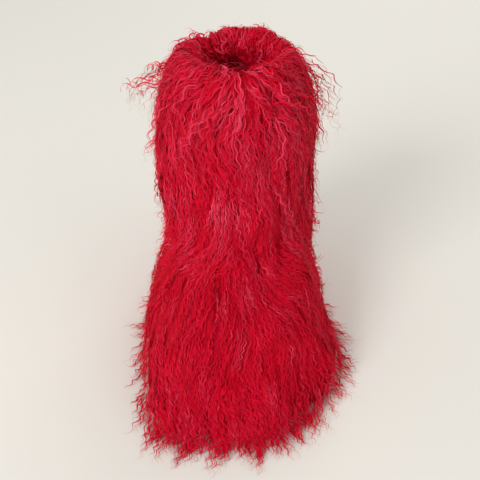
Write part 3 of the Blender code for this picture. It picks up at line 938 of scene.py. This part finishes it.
def make_underwool():
    material, shader = add_plain_material("underwool", UNDERWOOL_SHADED_RED, 0.75)
    tree = material.node_tree
    set_inputs(shader, {"Specular IOR Level": 0.08})
    place = add_node(tree, "ShaderNodeUVMap", uv_map="Combed")
    split = add_node(tree, "ShaderNodeSeparateXYZ")
    link(tree, place.outputs["UV"], split.inputs[0])
    broad = {"Scale": 40.0, "Detail": 1.0}
    bend = add_node(tree, "ShaderNodeTexNoise", broad, noise_dimensions="2D")
    link(tree, place.outputs["UV"], bend.inputs["Vector"])
    crest = add_node(tree, "ShaderNodeMath", {1: math.tau / CRIMP_LENGTH}, operation="MULTIPLY_ADD")
    link(tree, split.outputs["Y"], crest.inputs[0])
    turned = add_node(tree, "ShaderNodeMath", {1: CRIMP_BEND}, operation="MULTIPLY")
    link(tree, bend.outputs["Fac"], turned.inputs[0])
    link(tree, turned.outputs["Value"], crest.inputs[2])
    wave = add_node(tree, "ShaderNodeMath", operation="SINE")
    link(tree, crest.outputs["Value"], wave.inputs[0])
    shift = add_node(tree, "ShaderNodeMath", {1: CRIMP_SWING}, operation="MULTIPLY_ADD")
    link(tree, wave.outputs["Value"], shift.inputs[0])
    link(tree, split.outputs["X"], shift.inputs[2])
    combed = add_node(tree, "ShaderNodeCombineXYZ")
    link(tree, shift.outputs["Value"], combed.inputs["X"])
    link(tree, split.outputs["Y"], combed.inputs["Y"])
    hairs = add_hairs(tree, combed.outputs["Vector"], 520.0, 30.0)
    dyed = add_ramp(tree, [(0.36, UNDERWOOL_SHADED_DEEP), (0.60, UNDERWOOL_SHADED_RED)])
    link(tree, hairs, dyed.inputs["Fac"])
    link(tree, dyed.outputs["Color"], shader.inputs["Base Color"])
    add_bump(tree, shader, hairs, 0.9, 0.0018)
    return material


underwool = make_underwool()
print("material:", underwool.name)

# %% A closed shell from rings
COLUMN_WIDTH = 0.0024


def add_shell_maps(bm, ring_stack):
    """A map in metres for the comb marks, and one from 0 to 1 for the whole shell."""
    combed = bm.loops.layers.uv.new("Combed")
    whole = bm.loops.layers.uv.new("OFBake")
    bm.verts.index_update()
    rings = len(ring_stack)
    pairs = zip(ring_stack, ring_stack[1:])
    ring_gaps = [float(np.linalg.norm(below - above, axis=1).mean()) for above, below in pairs]
    runs = np.concatenate([[0.0], np.cumsum(ring_gaps)])
    run_end = runs[-1] + (runs[-1] - runs[-2])
    for face in bm.faces:
        spots = [(loop.vert.index // MAP_COLUMNS, loop.vert.index % MAP_COLUMNS) for loop in face.loops]
        wide = max(column for _, column in spots) - min(column for _, column in spots) > 1
        last = max(row for row, _ in spots) - min(row for row, _ in spots) > 1
        for loop, (row, column) in zip(face.loops, spots):
            column += MAP_COLUMNS if wide and column == 0 else 0
            wrapped = last and row == 0
            run = run_end if wrapped else runs[row]
            loop[combed].uv = (column * COLUMN_WIDTH, run)
            loop[whole].uv = (column / MAP_COLUMNS, (rings if wrapped else row) / rings)


def extrude_ring(bm, edges, ring_verts, places):
    """Extrudes a closed circle of edges, and moves each new point to its place in the next ring."""
    grown = bmesh.ops.extrude_edge_only(bm, edges=edges)["geom"]
    new_edges = [item for item in grown if isinstance(item, bmesh.types.BMEdge) and item.is_boundary]
    new = {vert for edge in new_edges for vert in edge.verts}
    new_verts = []
    for vert, place in zip(ring_verts, places):
        follower = next(edge.other_vert(vert) for edge in vert.link_edges if edge.other_vert(vert) in new)
        new_verts.append(follower)
        follower.co = place
    return new_edges, new_verts


def close_shell(name, ring_stack, node):
    """One circle of edges, extruded from ring to ring and bridged to itself."""
    bm = bmesh.new()
    bmesh.ops.create_circle(bm, segments=MAP_COLUMNS, radius=0.1)
    ring_verts = list(bm.verts)
    first_edges = edges = list(bm.edges)
    for vert, place in zip(ring_verts, ring_stack[0]):
        vert.co = place
    for ring in ring_stack[1:]:
        edges, ring_verts = extrude_ring(bm, edges, ring_verts, ring)
    bmesh.ops.bridge_loops(bm, edges=first_edges + edges)
    bmesh.ops.recalc_face_normals(bm, faces=bm.faces)
    add_shell_maps(bm, ring_stack)
    mesh = bpy.data.meshes.new(name)
    bm.to_mesh(mesh)
    bm.free()
    mesh.shade_smooth()
    mesh.materials.append(underwool)
    piece = add_object(name, mesh)
    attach(piece, "root")
    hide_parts(node)
    print(name, 2 * len(mesh.polygons), "triangles")


# %% The underwool's two faces
UNDERWOOL_DEPTH = 0.0019
SHELL_THICKNESS = 0.012
MATTED_DEPTH = 0.0012
HEM_SETBACK = 0.0125
RAGGEDNESS = 0.35

ring_rise = np.interp(np.arange(coat.shape[0]), FIRST_COAT + np.arange(COAT_RINGS), coat_rises)
side, toeward = coat[..., 0], -coat[..., 1]
at_toe = smooth(toeward, 0.19, 0.24)
outer_corner = smooth(side, 0.03, 0.08) * smooth(toeward, 0.10, 0.17)
both_sides = smooth(np.abs(side), 0.05, 0.09) * smooth(0.24 - toeward, 0.0, 0.05)
retreat = (1 + at_toe) * ((1 - 0.55 * outer_corner) * (1 - 0.45 * both_sides * (1 - outer_corner)))
ragged = 1 + RAGGEDNESS * ripple(coat * UPRIGHT, 0.016, seed=9)
setback = HEM_SETBACK * ragged * retreat * smooth(0.10 - ring_rise[:, None], 0.0, 0.10)
depth = UNDERWOOL_DEPTH + setback
matted = ripple(coat * np.array([1.0, 1.0, 0.4]), 0.014, seed=8) * MATTED_DEPTH
skin = coat - coat_out * (depth + matted)[..., None]
inner = coat - coat_out * (depth + SHELL_THICKNESS)[..., None]
skin[..., 2] = np.maximum(skin[..., 2], HEM_HEIGHT)
print("underwool stays back at the hem by up to", round(1000 * float(setback.max()), 1), "mm")

# %% The shell of the shaft
ANKLE_SEAM = 0.370
COLLAR_SEAM = 0.81
INNER_STRIDE = 6

ankle_ring = round(ring_at(ANKLE_SEAM))
collar_ring = round(ring_at(COLLAR_SEAM))
shaft_inside = inner[collar_ring:ankle_ring + 1:INNER_STRIDE]
close_shell("underwool_shaft", [*skin[collar_ring:ankle_ring + 1], *shaft_inside[::-1]], "fur_shaft")

# %% The shell of the foot
SIDE_HEIGHT = 0.0135
SOLE_MIDDLE = -0.004
TOE_MARGIN = 0.05
HEEL_MARGIN = 0.04
SOLE_CLEARANCE = 0.001
SHELF_HEIGHT = 0.0075
SHELF_THICKNESS = 0.006
UNDER_HEIGHT = 0.006
LAST_INNER = LAST_COAT - 8

# from each point of the hem a ray finds the sole's side, and the shelf ends just short of it
sole_tree = BVHTree.FromObject(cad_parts["outsole"], bpy.context.evaluated_depsgraph_get())
shelf = []
for place in skin[LAST_COAT]:
    start = Vector((place[0], place[1], SIDE_HEIGHT))
    target_y = min(max(place[1], sole_low.y + TOE_MARGIN), sole_high.y - HEEL_MARGIN)
    target = Vector((SOLE_MIDDLE, target_y, SIDE_HEIGHT))
    hit = sole_tree.ray_cast(start, (target - start).normalized())[0]
    end = hit + (start - target).normalized() * SOLE_CLEARANCE
    shelf.append([end.x, end.y, SHELF_HEIGHT])
shelf = np.array(shelf)
under = lerp(skin[LAST_COAT], shelf, 0.5)
under[:, 2] = UNDER_HEIGHT
roof = shelf + np.array([0.0, 0.0, SHELF_THICKNESS])
foot_rings = [*skin[ankle_ring:LAST_COAT + 1], under, shelf, roof, lerp(roof, inner[LAST_INNER], 0.5)]
foot_inside = inner[ankle_ring:LAST_INNER + 1:INNER_STRIDE]
close_shell("underwool_foot", [*foot_rings, *foot_inside[::-1]], "fur_foot")

# %% The shell of the collar
LINING_GAP = 0.001

lining = shaft_oval(LINING_GAP)
lining_rings = [full_ring(lining, CREST * COLLAR_SEAM), full_ring(lining, upper_high.z + LINING_GAP)]
close_shell("underwool_collar", [*lining_rings, *skin[1:collar_ring + 1]], "fur_collar")

# %% [markdown]
# ## Sole, footbed and hide
#
# Little of them shows, and only from below or through the collar, but they are finished all the
# same: matt black rubber with the fine grain of its mould, a short red plush on the footbed, and
# the hide, whose nap is brushed into lighter and darker patches. Pictures of such surfaces would
# do, but a pattern of noise has no seams and no fixed scale. The three differ in size and depth
# of one grain, so the grain is built once as a group, and each gives it its own values.

# %% A grain for rubber, plush and hide
def make_grain_group():
    """A fine grain and broad patches over it, both read at a place in metres."""
    group = bpy.data.node_groups.new("grain_and_patches", "ShaderNodeTree")
    add_socket(group, "INPUT", "Vector", "Place")
    add_socket(group, "INPUT", "Float", "Grains", 900.0)
    add_socket(group, "INPUT", "Float", "Patches", 60.0)
    add_socket(group, "OUTPUT", "Float", "Grain")
    add_socket(group, "OUTPUT", "Float", "Patch")
    taken = add_node(group, "NodeGroupInput")
    given = add_node(group, "NodeGroupOutput")
    for size, detail, output in (("Grains", 4.0, "Grain"), ("Patches", 2.0, "Patch")):
        noise = add_node(group, "ShaderNodeTexNoise", {"Detail": detail})
        link(group, taken.outputs["Place"], noise.inputs["Vector"])
        link(group, taken.outputs[size], noise.inputs["Scale"])
        link(group, noise.outputs["Fac"], given.inputs[output])
    return group


grain_group = make_grain_group()


def finish_node(node, name, dark, light, roughness, grains, patches, relief, sheen):
    """Gives a solid of the frame a grained material of its own."""
    material, shader = add_plain_material(name, light, roughness)
    tree = material.node_tree
    set_inputs(shader, {"Sheen Weight": sheen, "Specular IOR Level": 0.3})
    place = add_node(tree, "ShaderNodeTexCoord")
    sizes = {"Grains": grains, "Patches": patches}
    grain = add_node(tree, "ShaderNodeGroup", sizes, node_tree=grain_group)
    link(tree, place.outputs["Object"], grain.inputs["Place"])
    both = add_node(tree, "ShaderNodeMath", operation="ADD")
    link(tree, grain.outputs["Grain"], both.inputs[0])
    link(tree, grain.outputs["Patch"], both.inputs[1])
    half = add_node(tree, "ShaderNodeMath", {1: 0.5}, operation="MULTIPLY")
    link(tree, both.outputs["Value"], half.inputs[0])
    shades = add_ramp(tree, [(0.35, dark), (0.65, light)])
    link(tree, half.outputs["Value"], shades.inputs["Fac"])
    link(tree, shades.outputs["Color"], shader.inputs["Base Color"])
    limits = {"To Min": roughness - 0.1, "To Max": roughness + 0.1}
    rough = add_node(tree, "ShaderNodeMapRange", limits)
    link(tree, grain.outputs["Patch"], rough.inputs["Value"])
    link(tree, rough.outputs["Result"], shader.inputs["Roughness"])
    add_bump(tree, shader, grain.outputs["Grain"], 0.7, relief)
    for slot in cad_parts[node].material_slots:
        slot.material = material
    print(node, "is finished as", material.name)


# %% Finish sole, footbed and hide
finish_node(
    "outsole", "moulded_rubber", dark=(0.016, 0.015, 0.017), light=(0.034, 0.033, 0.035),
    roughness=0.60, grains=1100.0, patches=40.0, relief=0.0003, sheen=0.0,
)
finish_node(
    "insole", "short_plush", dark=(0.13, 0.005, 0.010), light=(0.27, 0.016, 0.028),
    roughness=0.85, grains=1500.0, patches=70.0, relief=0.0012, sheen=0.3,
)
finish_node(
    "upper", "brushed_hide", dark=(0.19, 0.007, 0.014), light=(0.33, 0.020, 0.034),
    roughness=0.80, grains=1900.0, patches=55.0, relief=0.0005, sheen=0.25,
)
